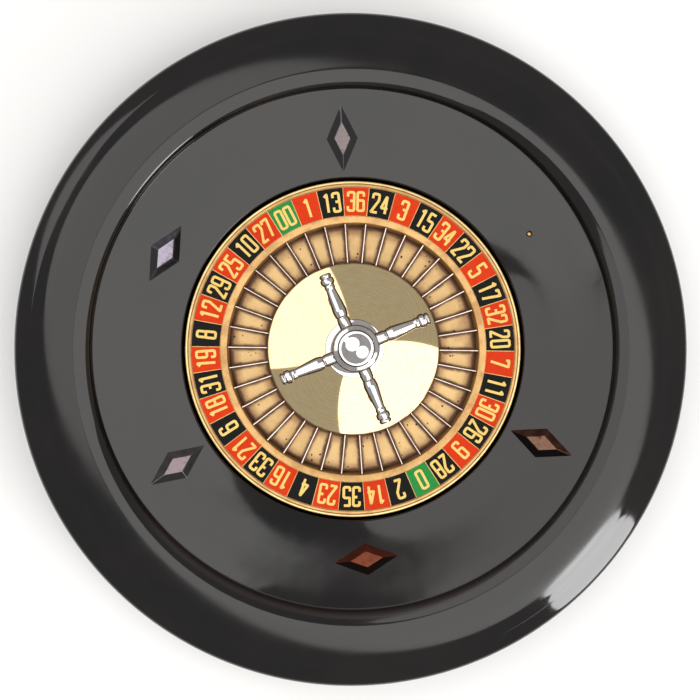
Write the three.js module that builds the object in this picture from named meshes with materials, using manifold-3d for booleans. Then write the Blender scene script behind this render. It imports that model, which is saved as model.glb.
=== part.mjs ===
// A double-zero roulette wheel: a moulded bowl with five of its six deflector diamonds, and a free-spinning
// rotor of a wooden disc, brass number ring, pocket floor, frets and cone, turned by a four-armed turret.
// Millimetres, +Z up. The origin is the centre of the underside, on the surface that the wheel stands on.
import * as THREE from "three";
import { mergeVertices } from "three/addons/utils/BufferGeometryUtils.js";
import Module from "manifold-3d";

// ---- driving dimensions ----
const FIT_GAP = 0.3; // between pieces that touch
const LARGE_ROUND = 96; // sides of a large turned piece
const SMALL_ROUND = 32; // sides of a small turned piece
const BAR_ROUND = 12; // sides of an arm, pin or screw

const BOWL_R = 254; // 20 in across
const RIM_UNDER_Z = 38.5; // underside of the rolled rim
const BEAD_TOP_Z = 58; // inner edge of the rim's outer bead, at the groove
const BEAD_SHOULDER_Z = 49.6; // where the bead's slope would meet the outer edge
const BEAD_ROLL = 9;
const CROWN_Z = 67; // highest ring of the bowl
const CREASE_R = 195.1; // where the apron meets the steep wall
const WALL_TOP = [195.6, 62.9]; // where the wall would meet the slope up to the crown
const WELL_R = 129.8; // well that the rotor turns in
const LIP_Z = 44; // top of the well's edge
const APRON_SLOPE = Math.tan(THREE.MathUtils.degToRad(10.4));
const WALL = 8; // moulded wall
const SIDE_R = 248; // plain outside wall, just under the rim
const BELLY_FULLNESS = [246, 8]; // control point of the curve from the foot up to the plain wall
const ROLL_OUTER = [235.8, 59.1]; // where the rim's roll starts, at the groove
const ROLL_FULLNESS = [222.4, 66]; // control point of the roll's curve
const ROLL_INNER_R = 210; // where the roll reaches the crown
const CROWN_R = 204.4; // inner corner of the crown, before rounding
const GROOVE_R = 237; // fine groove between the roll and the bead
const GROOVE_DEPTH = 0.5;
const FOOT_Z = 2.5; // underside of the moulding, on the baize
const FOOT_R = 213;
const FOOT_WALL_R = 200; // inner face of the foot's wall
const RIB_INNER_R = 167; // concentric rib between the two hollows underneath
const RIB_OUTER_R = 174;
const HOLLOW_DRAFT = 2;
const WELL_FLOOR_Z = 10.5;
const BOSS_R = 20;
const BOSS_Z = 13;
const NUT_RECESS_R = 11;
const NUT_RECESS_Z = 8;
const BAIZE_R = 211;
const BAIZE_T = FOOT_Z - FIT_GAP;

const STATION_R = 158.6; // circle of the deflector diamonds
const FIRST_STATION_DEG = 33.3; // the vacant one
const STATIONS = 6;
const DIAMOND_LENGTH = 50;
const DIAMOND_WIDTH = 23.8;
const DIAMOND_HEIGHT = 4.2;
const DIAMOND_TOP_SHARE = 0.5; // of the base, across the flat top
const DIAMOND_ROOT = 3; // depth of the blank below the apron before it is cut to fit
// Every other diamond lies across the ball's way, and each has been screwed down slightly askew.
const DIAMONDS = [
  { station: 1, turn: -0.5 },
  { station: 2, turn: 87.1 },
  { station: 3, turn: 2.9 },
  { station: 4, turn: 93.3 },
  { station: 5, turn: 4.1 },
];
const SCREW_R = 1.4;
const SCREW_HEAD_R = 3.4;
const SCREW_HEAD_T = 2.6;
const SCREW_PROUD = 0.8; // of the apron at the vacant station
const SCREW_HOLE_R = SCREW_R + FIT_GAP;

const SPINDLE_R = 6;
const SPINDLE_SHANK_R = 5;
const SPINDLE_FLANGE_R = 15;
const SPINDLE_FLANGE_T = 2.2;
const SPINDLE_FOOT_Z = 3.4; // lower end of the threaded shank
const DOME_H = 1.5; // domed tip
const PIVOT_Z = 67.1; // domed tip that the rotor hangs on
const SHANK_HOLE_R = SPINDLE_SHANK_R + FIT_GAP;
const NUT_ACROSS_FLATS = 14;
const NUT_T = 4.5;

const POCKETS = 38;
const FIRST_FRET_DEG = 292.86; // fret on the clockwise side of the single-zero pocket
const ROTOR_R = 127.5;
const DISC_BOTTOM_Z = 17;
const DISC_TOP_Z = 29;
const DISC_R = 127;
const FLOOR_T = 1;
const FLOOR_INNER_R = 60;
const FLOOR_OUTER_R = 93.7;
const RING_FOOT_R = 94; // inner edge of the number ring, at the pocket floor
const RING_INNER_R = 96.1; // inner edge of the number ring, at its top
const RING_INNER_Z = 39.2;
const CELL_INNER_R = 101.3;
const CELL_OUTER_R = 122.9;
const CELL_INNER_Z = 39.3;
const CELL_OUTER_Z = 41.3;
const RING_RIM_Z = 42;
const RING_GROOVE_R = 125.4; // fine groove in the ring's rim
const RING_GROOVE_DEPTH = 0.7;
const FRET_T = 1.6;
const FRET_OUTER_Z = 38.6;
const FRET_INNER_Z = 37.4;
const CONE_R = 65.7;
const CONE_EDGE_Z = 38.6;
const CONE_TOP_R = 20.8;
const CONE_TOP_Z = 54;
const CONE_WALL = 2;

const BUSH_R = 10;
const BUSH_BORE_R = SPINDLE_R + FIT_GAP;
const BUSH_TOP_Z = 71.5;
const BUSH_BOTTOM_Z = 17.3;
const CORE_HOLE_R = BUSH_R + FIT_GAP; // hole for the bush through everything that is clamped on it
const COLLAR_R = 22.2;
const COLLAR_TOP_Z = 60.7;
const TURRET_R = 15.4;
const TURRET_BOTTOM_Z = 61;
const TURRET_TOP_Z = 71.6;
const CAP_R = 17.4;
const CAP_TOP_Z = 82.3;
const DISH_R = 10.7;
const DISH_DEPTH = 4;
const ARMS = 4;
const FIRST_ARM_DEG = 22.7;
const ARM_Z = 66.3;
const ARM_ROOT_X = 12; // blind end of the arm's tenon
const ARM_TIP_X = 59.8;
const TENON_R = 3;

// ---- manifold-3d only joins and cuts ----
const wasm = await Module();
wasm.setup();

function asSolid(geometry) {
  const bare = new THREE.BufferGeometry();
  bare.setAttribute("position", geometry.getAttribute("position").clone());
  bare.setIndex(geometry.getIndex());
  const merged = mergeVertices(bare, 1e-3);
  return new wasm.Manifold(
    new wasm.Mesh({
      numProp: 3,
      vertProperties: new Float32Array(merged.getAttribute("position").array),
      triVerts: new Uint32Array(merged.getIndex().array),
    }),
  );
}

function asGeometry(solid) {
  const mesh = solid.getMesh();
  const geometry = new THREE.BufferGeometry();
  geometry.setAttribute("position", new THREE.BufferAttribute(mesh.vertProperties, 3));
  geometry.setIndex(new THREE.BufferAttribute(mesh.triVerts, 1));
  geometry.computeVertexNormals();
  return geometry;
}

function cut(geometry, cutters) {
  const solid = cutters.reduce((left, cutter) => left.subtract(asSolid(cutter)), asSolid(geometry));
  return asGeometry(solid);
}

// ---- outlines and turned pieces ----
// Rounds the corners of an outline. Each corner is [radius from the axis, height, rounding, steps].
// A corner without a rounding stays sharp. The outline runs anticlockwise, and closes on itself
// unless it is open.
function rounded(corners, open = false) {
  const points = corners.map(([r, z]) => new THREE.Vector2(r, z));
  const count = points.length;
  return corners.flatMap(([, , rounding = 0, steps = 2], i) => {
    const corner = points[i];
    const isEnd = open && (i === 0 || i === count - 1);
    if (!rounding || isEnd) return [corner];
    const before = points[(i + count - 1) % count].clone().sub(corner).normalize();
    const after = points[(i + 1) % count].clone().sub(corner).normalize();
    const half = Math.acos(before.dot(after)) / 2;
    const centre = before
      .clone()
      .add(after)
      .normalize()
      .multiplyScalar(rounding / Math.sin(half))
      .add(corner);
    const start = before.multiplyScalar(rounding / Math.tan(half)).add(corner).sub(centre);
    const turn = Math.PI - 2 * half;
    const side = Math.sign(start.cross(corner.clone().sub(centre)));
    return Array.from({ length: steps + 1 }, (_, k) =>
      start
        .clone()
        .rotateAround(new THREE.Vector2(), (side * turn * k) / steps)
        .add(centre),
    );
  });
}

// A turned piece about the Z axis. A closed outline goes back to its first point.
function turned(outline, sides, closed = true) {
  const points = closed ? [...outline, outline[0].clone()] : outline;
  return new THREE.LatheGeometry(points, sides).rotateX(Math.PI / 2);
}

function curve(start, control, end, steps) {
  const [a, b, c] = [start, control, end].map(([x, y]) => new THREE.Vector2(x, y));
  return new THREE.QuadraticBezierCurve(a, b, c).getPoints(steps).map((point) => [point.x, point.y]);
}

function upright(radius, bottom, top, sides) {
  return new THREE.CylinderGeometry(radius, radius, top - bottom, sides)
    .rotateX(Math.PI / 2)
    .translate(0, 0, (top + bottom) / 2);
}

const group = new THREE.Group();

function add(name, geometry, material, parent = group) {
  const mesh = new THREE.Mesh(geometry, material);
  mesh.name = name;
  parent.add(mesh);
  return mesh;
}

// A turn about the Z axis that holds one copy of a repeated piece.
function turnedTo(degrees) {
  const holder = new THREE.Group();
  holder.rotation.z = THREE.MathUtils.degToRad(degrees);
  group.add(holder);
  return holder;
}

// ---- materials ----
const finish = (color, roughness, metalness) =>
  new THREE.MeshStandardMaterial({ color, roughness, metalness });
const bakelite = () => finish(0x17100d, 0.14, 0);
const diamondBakelite = () => finish(0x6b4a40, 0.35, 0);
const baize = () => finish(0x1f4d33, 0.95, 0);
const wood = () => finish(0x5a3820, 0.6, 0);
const brass = () => finish(0xc9a15a, 0.25, 1);
const agedBrass = () => finish(0xa9824c, 0.5, 1);
const polishedBrass = () => finish(0xe3bf78, 0.05, 1);
const wornNickel = () => finish(0xc79a82, 0.3, 1);
const chrome = () => finish(0xe2e0de, 0.06, 1);
const steel = () => finish(0x9a9a98, 0.35, 1);

// ---- bowl and what is fixed to it ----
const apronZ = (r) => LIP_Z + (r - WELL_R) * APRON_SLOPE;

// The underside is cored between the well and the foot, with one concentric rib between the two hollows.
function bowlOutline() {
  const hollow = (inner, outer) => [
    [inner, FOOT_Z],
    [inner + HOLLOW_DRAFT, apronZ(inner) - WALL],
    [outer - HOLLOW_DRAFT, apronZ(outer) - WALL],
    [outer, FOOT_Z],
  ];
  const belly = curve([FOOT_R, FOOT_Z], BELLY_FULLNESS, [SIDE_R, RIM_UNDER_Z - 2], 4);
  const roll = curve(ROLL_OUTER, ROLL_FULLNESS, [ROLL_INNER_R, CROWN_Z], 4);
  return rounded([
    [SHANK_HOLE_R, NUT_RECESS_Z],
    [NUT_RECESS_R, NUT_RECESS_Z],
    [NUT_RECESS_R, FOOT_Z],
    ...hollow(WELL_R + WALL, RIB_INNER_R),
    ...hollow(RIB_OUTER_R, FOOT_WALL_R),
    ...belly,
    [SIDE_R + 1.5, RIM_UNDER_Z],
    [BOWL_R, RIM_UNDER_Z, 2],
    [BOWL_R, BEAD_SHOULDER_Z, BEAD_ROLL, 5],
    [GROOVE_R + 1, BEAD_TOP_Z],
    [GROOVE_R, BEAD_TOP_Z - GROOVE_DEPTH],
    ...roll,
    [CROWN_R, CROWN_Z, 25, 3],
    [...WALL_TOP, 6.5, 4],
    [CREASE_R, apronZ(CREASE_R), 1.2, 2],
    [WELL_R, LIP_Z, 1.5, 2],
    [WELL_R, WELL_FLOOR_Z, 3, 2],
    [BOSS_R + 1, WELL_FLOOR_Z],
    [BOSS_R, BOSS_Z],
    [SHANK_HOLE_R, BOSS_Z],
  ]);
}

const stationAngle = (station) => FIRST_STATION_DEG + (station * 360) / STATIONS;

function onStation(geometry, station) {
  return geometry.translate(STATION_R, 0, 0).rotateZ(THREE.MathUtils.degToRad(stationAngle(station)));
}

function addBowl() {
  const screwHole = onStation(upright(SCREW_HOLE_R, RIM_UNDER_Z - 10, CROWN_Z, BAR_ROUND), 0);
  add("bowl", cut(turned(bowlOutline(), LARGE_ROUND), [screwHole]), bakelite());
}

// What lies under the apron's surface, raised by the fitting gap.
function apronBlock() {
  const reach = STATION_R + DIAMOND_LENGTH;
  const corners = [
    [0, 0],
    [reach, 0],
    [reach, apronZ(reach) + FIT_GAP],
    [0, apronZ(0) + FIT_GAP],
  ];
  return turned(rounded(corners, true), LARGE_ROUND, false);
}

// A flat-topped hipped diamond: a four-sided frustum stretched to its length and width, then tilted
// with the apron.
function diamondBlank(station, turn) {
  const slope = (1 - DIAMOND_TOP_SHARE) / DIAMOND_HEIGHT;
  const rootShare = 1 + slope * DIAMOND_ROOT;
  const height = DIAMOND_HEIGHT + DIAMOND_ROOT;
  const blank = new THREE.CylinderGeometry(DIAMOND_TOP_SHARE, rootShare, height, 4)
    .rotateX(Math.PI / 2)
    .scale(DIAMOND_LENGTH / 2, DIAMOND_WIDTH / 2, 1)
    .translate(0, 0, DIAMOND_HEIGHT - height / 2)
    .rotateZ(THREE.MathUtils.degToRad(turn))
    .rotateY(-Math.atan(APRON_SLOPE))
    .translate(0, 0, apronZ(STATION_R));
  return onStation(blank, station);
}

function addDiamonds() {
  const underside = apronBlock();
  DIAMONDS.forEach(({ station, turn }) => {
    const trimmed = cut(diamondBlank(station, turn), [underside]);
    add(`diamond_${station}`, trimmed, diamondBakelite());
  });
}

// The fixing screw left behind at the vacant station, put in from below.
function addVacantScrew() {
  const seat = apronZ(STATION_R) - WALL - FIT_GAP;
  const outline = rounded(
    [
      [0, seat - SCREW_HEAD_T],
      [SCREW_HEAD_R, seat - SCREW_HEAD_T],
      [SCREW_HEAD_R, seat - 1],
      [SCREW_R, seat - 1],
      [SCREW_R, apronZ(STATION_R) + SCREW_PROUD],
      [0, apronZ(STATION_R) + SCREW_PROUD],
    ],
    true,
  );
  add("vacant_station_screw", onStation(turned(outline, BAR_ROUND, false), 0), brass());
}

function addSpindle() {
  const flangeZ = BOSS_Z + FIT_GAP;
  const outline = rounded(
    [
      [0, SPINDLE_FOOT_Z],
      [SPINDLE_SHANK_R, SPINDLE_FOOT_Z],
      [SPINDLE_SHANK_R, flangeZ],
      [SPINDLE_FLANGE_R, flangeZ],
      [SPINDLE_FLANGE_R, flangeZ + SPINDLE_FLANGE_T],
      [SPINDLE_R, flangeZ + SPINDLE_FLANGE_T],
      [SPINDLE_R, PIVOT_Z - DOME_H],
      [SPINDLE_R / 2, PIVOT_Z - 0.2],
      [0, PIVOT_Z],
    ],
    true,
  );
  add("spindle", turned(outline, SMALL_ROUND, false), steel());

  const nutR = NUT_ACROSS_FLATS / 2 / Math.cos(Math.PI / 6);
  const corners = Array.from({ length: 6 }, (_, k) => {
    const angle = (k * Math.PI) / 3;
    return new THREE.Vector2(nutR * Math.cos(angle), nutR * Math.sin(angle));
  });
  const shape = new THREE.Shape(corners);
  shape.holes.push(new THREE.Path().absarc(0, 0, SHANK_HOLE_R, 0, 2 * Math.PI));
  const nut = new THREE.ExtrudeGeometry(shape, { depth: NUT_T, bevelEnabled: false, curveSegments: 12 });
  add("spindle_nut", nut.translate(0, 0, NUT_RECESS_Z - FIT_GAP - NUT_T), steel());
}

function addBaize() {
  add("baize_base", upright(BAIZE_R, 0, BAIZE_T, LARGE_ROUND), baize());
}

// ---- rotor ----
function addRotorDisc() {
  const outline = rounded([
    [CORE_HOLE_R, DISC_BOTTOM_Z],
    [DISC_R, DISC_BOTTOM_Z],
    [DISC_R, DISC_TOP_Z],
    [CORE_HOLE_R, DISC_TOP_Z],
  ]);
  add("rotor_disc", turned(outline, LARGE_ROUND), wood());
}

// One brass ring: a grooved rim, the band of painted cells sunk below it, and a plain inner border.
function addNumberRing() {
  const seat = DISC_TOP_Z + FIT_GAP;
  const outline = rounded([
    [RING_FOOT_R, seat],
    [ROTOR_R, seat],
    [ROTOR_R, RING_RIM_Z, 1, 2],
    [RING_GROOVE_R + 0.4, RING_RIM_Z],
    [RING_GROOVE_R, RING_RIM_Z - RING_GROOVE_DEPTH],
    [RING_GROOVE_R - 0.4, RING_RIM_Z - 0.1],
    [CELL_OUTER_R + 0.4, RING_RIM_Z - 0.1],
    [CELL_OUTER_R, CELL_OUTER_Z],
    [CELL_INNER_R, CELL_INNER_Z],
    [CELL_INNER_R - 0.4, CELL_INNER_Z + 0.5],
    [RING_INNER_R, RING_INNER_Z, 0.6, 1],
  ]);
  add("number_ring", turned(outline, LARGE_ROUND), brass());
}

function addPocketFloor() {
  const bottom = DISC_TOP_Z + FIT_GAP;
  const outline = rounded([
    [FLOOR_INNER_R, bottom],
    [FLOOR_OUTER_R, bottom],
    [FLOOR_OUTER_R, bottom + FLOOR_T],
    [FLOOR_INNER_R, bottom + FLOOR_T],
  ]);
  add("pocket_floor", turned(outline, LARGE_ROUND), agedBrass());
}

const standZ = DISC_TOP_Z + FIT_GAP + FLOOR_T + FIT_GAP; // what stands on the pocket floor starts here

// A fret is a strip on edge, as long as the pocket, with its outer end cut to the ring's sloping wall.
function fretGeometry() {
  const wallRun = (RING_INNER_R - RING_FOOT_R) / (RING_INNER_Z - DISC_TOP_Z - FIT_GAP);
  const outerEnd = (z) => RING_FOOT_R + (z - DISC_TOP_Z - FIT_GAP) * wallRun - FIT_GAP;
  const innerEnd = CONE_R + FIT_GAP;
  const crest = FRET_T / 4;
  const side = new THREE.Shape([
    new THREE.Vector2(innerEnd, standZ),
    new THREE.Vector2(outerEnd(standZ), standZ),
    new THREE.Vector2(outerEnd(FRET_OUTER_Z), FRET_OUTER_Z - crest),
    new THREE.Vector2(outerEnd(FRET_OUTER_Z) - crest, FRET_OUTER_Z),
    new THREE.Vector2(innerEnd + crest, FRET_INNER_Z),
    new THREE.Vector2(innerEnd, FRET_INNER_Z - crest),
  ]);
  return new THREE.ExtrudeGeometry(side, { depth: FRET_T, bevelEnabled: false })
    .translate(0, 0, -FRET_T / 2)
    .rotateX(Math.PI / 2);
}

function addFrets() {
  for (let k = 0; k < POCKETS; k += 1) {
    const name = `fret_${String(k + 1).padStart(2, "0")}`;
    add(name, fretGeometry(), wornNickel(), turnedTo(FIRST_FRET_DEG + (k * 360) / POCKETS));
  }
}

// A spun shell that stands on the pocket floor and is clamped at its top by the collar.
function addCone() {
  const outline = rounded([
    [CONE_R - CONE_WALL, standZ],
    [CONE_R, standZ],
    [CONE_R, CONE_EDGE_Z, 1.2, 2],
    [CONE_TOP_R, CONE_TOP_Z, 2, 2],
    [CORE_HOLE_R, CONE_TOP_Z],
    [CORE_HOLE_R, CONE_TOP_Z - CONE_WALL],
    [CONE_TOP_R, CONE_TOP_Z - CONE_WALL],
    [CONE_R - CONE_WALL, CONE_EDGE_Z - CONE_WALL],
  ]);
  add("cone", turned(outline, LARGE_ROUND), polishedBrass());
}

// The brass bush has a blind top that rests on the spindle's domed tip.
function addBush() {
  const roof = PIVOT_Z + FIT_GAP;
  const outline = rounded(
    [
      [0, roof],
      [BUSH_BORE_R, roof],
      [BUSH_BORE_R, BUSH_BOTTOM_Z],
      [BUSH_R, BUSH_BOTTOM_Z],
      [BUSH_R, BUSH_TOP_Z],
      [0, BUSH_TOP_Z],
    ],
    true,
  );
  add("rotor_bush", turned(outline, SMALL_ROUND, false), brass());
}

function addCollar() {
  const bottom = CONE_TOP_Z + FIT_GAP;
  const flareFoot = [COLLAR_R - 0.4, bottom + 1.4];
  const flareTop = [TURRET_R, COLLAR_TOP_Z - 0.6];
  const flare = curve(flareFoot, [TURRET_R + 1.2, bottom + 1.8], flareTop, 4);
  const outline = rounded([
    [CORE_HOLE_R, bottom],
    [COLLAR_R, bottom],
    [COLLAR_R, bottom + 1],
    ...flare,
    [TURRET_R, COLLAR_TOP_Z],
    [CORE_HOLE_R, COLLAR_TOP_Z],
  ]);
  add("turret_collar", turned(outline, SMALL_ROUND), chrome());
}

const armAngle = (k) => FIRST_ARM_DEG + (k * 360) / ARMS;

// A bar along +X from the turret's axis, before it is turned to its arm's angle.
function alongArm(geometry) {
  return geometry.rotateY(Math.PI / 2).translate(0, 0, ARM_Z);
}

function addTurretBody() {
  const outline = rounded([
    [CORE_HOLE_R, TURRET_BOTTOM_Z],
    [TURRET_R, TURRET_BOTTOM_Z],
    [TURRET_R, TURRET_TOP_Z],
    [CORE_HOLE_R, TURRET_TOP_Z],
  ]);
  const sockets = Array.from({ length: ARMS }, (_, k) =>
    alongArm(upright(TENON_R + FIT_GAP, ARM_ROOT_X - FIT_GAP, TURRET_R + 4, BAR_ROUND)).rotateZ(
      THREE.MathUtils.degToRad(armAngle(k)),
    ),
  );
  add("turret_body", cut(turned(outline, SMALL_ROUND), sockets), chrome());
}

// Baluster handle, from the tenon in the turret to the domed tip: distance from the axis, radius.
function armGeometry() {
  const shoulder = TURRET_R + FIT_GAP;
  const outline = [
    [0, ARM_ROOT_X],
    [TENON_R, ARM_ROOT_X],
    [TENON_R, shoulder],
    [4.9, shoulder],
    [4.7, 24.2],
    [4.2, 25],
    [4.8, 25.8],
    [5.4, 29.5],
    [4.7, 37],
    [3.6, 47.5],
    [4.2, 49],
    [3.9, 50.6],
    [5.3, 52.6],
    [5.2, 55],
    [4.1, 56.4],
    [4.8, 57.4],
    [3.8, 59.2],
    [0, ARM_TIP_X],
  ];
  return alongArm(turned(rounded(outline, true), BAR_ROUND, false));
}

function addArms() {
  for (let k = 0; k < ARMS; k += 1) {
    add(`turret_arm_${k + 1}`, armGeometry(), chrome(), turnedTo(armAngle(k)));
  }
}

// A rolled ring around a shallow dish.
function addCap() {
  const bottom = TURRET_TOP_Z + FIT_GAP;
  const dishFloor = CAP_TOP_Z - DISH_DEPTH;
  const dish = curve([DISH_R, CAP_TOP_Z - 0.2], [DISH_R * 0.55, dishFloor], [0, dishFloor], 3);
  const outline = rounded(
    [
      [0, bottom],
      [TURRET_R - 1, bottom],
      [CAP_R, bottom + 2],
      [CAP_R, 79.2, 3, 3],
      [13.6, 81],
      [12.6, CAP_TOP_Z],
      [DISH_R + 0.4, CAP_TOP_Z],
      ...dish,
    ],
    true,
  );
  add("turret_cap", turned(outline, SMALL_ROUND, false), chrome());
}

addBowl();
addDiamonds();
addVacantScrew();
addSpindle();
addBaize();
addRotorDisc();
addNumberRing();
addPocketFloor();
addFrets();
addCone();
addBush();
addCollar();
addTurretBody();
addArms();
addCap();

export default group;
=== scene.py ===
"""The looks of a double-zero roulette wheel: a polished moulded bowl with worn deflector diamonds, and a
rotor with an enamelled number ring, brass pockets, a polished cone and a chrome turret. Metres, in the
part's own frame."""
import math

import bmesh
import bpy
import numpy as np
from mathutils import Matrix, Vector, noise


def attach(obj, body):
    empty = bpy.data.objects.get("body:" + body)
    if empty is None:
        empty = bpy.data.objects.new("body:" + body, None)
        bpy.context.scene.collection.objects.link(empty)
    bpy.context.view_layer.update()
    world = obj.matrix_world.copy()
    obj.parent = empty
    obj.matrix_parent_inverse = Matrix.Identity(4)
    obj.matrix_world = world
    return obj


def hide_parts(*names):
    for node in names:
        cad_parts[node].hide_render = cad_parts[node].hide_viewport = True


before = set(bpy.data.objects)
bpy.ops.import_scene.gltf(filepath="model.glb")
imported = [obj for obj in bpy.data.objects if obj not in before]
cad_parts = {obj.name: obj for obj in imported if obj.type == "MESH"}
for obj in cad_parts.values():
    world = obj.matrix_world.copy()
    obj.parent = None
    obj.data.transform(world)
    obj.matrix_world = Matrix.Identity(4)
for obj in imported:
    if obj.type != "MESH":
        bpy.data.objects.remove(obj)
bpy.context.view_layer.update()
MM = 0.001
scene = bpy.context.scene

# ---- sizes, in millimetres, the same as the part's own ----
BOWL_R = 254
RIM_UNDER_Z = 38.5
BEAD_SHOULDER_Z = 49.6
CROWN_Z = 67
CREASE_R = 195.1
WELL_R = 129.8
LIP_Z = 44
APRON_TILT = math.radians(10.4)
WALL = 8
STATION_R = 158.6
FIRST_STATION = 33.3
STATIONS = 6
DIAMOND_TURNS = {1: -0.5, 2: 87.1, 3: 2.9, 4: 93.3, 5: 4.1}
DIAMOND_LENGTH = 50
DIAMOND_WIDTH = 23.8
DIAMOND_HEIGHT = 4.2
POCKETS = 38
STEP = 360 / POCKETS
FIRST_FRET = 292.86
CELL_INNER_R = 101.3
CELL_OUTER_R = 122.9
CELL_INNER_Z = 39.3
CELL_OUTER_Z = 41.3
CONE_R = 65.7
RING_FOOT_R = 94
RING_INNER_R = 96.1
RING_INNER_Z = 39.2
FLOOR_Z = 30.3
ARMS = 4
FIRST_ARM = 22.7
ARM_Z = 66.3
# Round the wheel anticlockwise, from the single zero.
NUMBERS = ("0 28 9 26 30 11 7 20 32 17 5 22 34 15 3 24 36 13 1 "
           "00 27 10 25 29 12 8 19 31 18 6 21 33 16 4 23 35 14 2").split()
GREENS = ("0", "00")
REDS = "9 30 7 32 5 34 3 36 1 27 25 12 19 18 21 16 23 14".split()


def apron_z(r):
    return LIP_Z + (r - WELL_R) * math.tan(APRON_TILT)


# ---- materials ----
class Shader:
    """A node material, with a short way to add each node and link what feeds it."""

    def __init__(self, name):
        self.material = bpy.data.materials.new(name)
        self.material.use_nodes = True
        self.tree = self.material.node_tree
        self.surface = self.tree.nodes["Principled BSDF"]

    def node(self, kind, settings=None, **sockets):
        made = self.tree.nodes.new("ShaderNode" + kind)
        for key, value in (settings or {}).items():
            setattr(made, key, value)
        for key, value in sockets.items():
            numbered = key[0] == "_" and key[1:].isdigit()
            self.feed(made.inputs[int(key[1:]) if numbered else key.replace("_", " ")], value)
        return made

    def feed(self, socket, value):
        if isinstance(value, bpy.types.NodeSocket):
            self.tree.links.new(value, socket)
        else:
            socket.default_value = value

    def place(self):
        return self.node("TexCoord").outputs["Object"]

    def stretched(self, factors, turn=0.0):
        return self.node("Mapping", Vector=self.place(), Scale=factors, Rotation=(0, 0, turn)).outputs[0]

    def noise(self, scale, detail=4.0, rough=0.55, where=None):
        where = where or self.place()
        return self.node("TexNoise", Vector=where, Scale=scale, Detail=detail,
            Roughness=rough).outputs["Fac"]

    def cells(self, scale, where=None):
        where = where or self.place()
        return self.node("TexVoronoi", {"feature": "F1"}, Vector=where, Scale=scale).outputs["Distance"]

    def math(self, operation, a, b=0.0):
        return self.node("Math", {"operation": operation}, _0=a, _1=b).outputs[0]

    def between(self, value, low, high, out_low=0.0, out_high=1.0):
        made = self.node("MapRange", {"interpolation_type": "SMOOTHSTEP"}, Value=value)
        for key, number in (("From Min", low), ("From Max", high), ("To Min", out_low),
            ("To Max", out_high)):
            made.inputs[key].default_value = number
        return made.outputs[0]

    def mix(self, share, a, b):
        made = self.node("Mix", {"data_type": "RGBA"})
        self.feed(made.inputs["Factor"], share)
        self.feed(made.inputs[6], a)
        self.feed(made.inputs[7], b)
        return made.outputs[2]

    def radius_and_angle(self):
        """Distance from the wheel's axis in millimetres, and the angle round it in radians."""
        parts = self.node("SeparateXYZ", Vector=self.place())
        x, y = parts.outputs["X"], parts.outputs["Y"]
        squares = self.math("ADD", self.math("MULTIPLY", x, x), self.math("MULTIPLY", y, y))
        return self.math("MULTIPLY", self.math("SQRT", squares), 1 / MM), self.math("ARCTAN2", y, x)

    def bump(self, height, strength, distance=0.0002, after=None):
        made = self.node("Bump", Height=height, Strength=strength, Distance=distance)
        if after:
            self.tree.links.new(after, made.inputs["Normal"])
        return made.outputs[0]

    def finish(self, colour, rough, bump=None, **constants):
        self.feed(self.surface.inputs["Base Color"], colour)
        self.feed(self.surface.inputs["Roughness"], rough)
        if bump:
            self.tree.links.new(bump, self.surface.inputs["Normal"])
        for key, value in constants.items():
            self.surface.inputs[key.replace("_", " ")].default_value = value
        return self.material


def rgb(r, g, b):
    """A colour as seen on a screen, 0 to 255, in the linear form that a shader takes."""
    def linear(v):
        v /= 255
        return v / 12.92 if v <= 0.04045 else ((v + 0.055) / 1.055) ** 2.4
    return (linear(r), linear(g), linear(b), 1.0)


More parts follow.
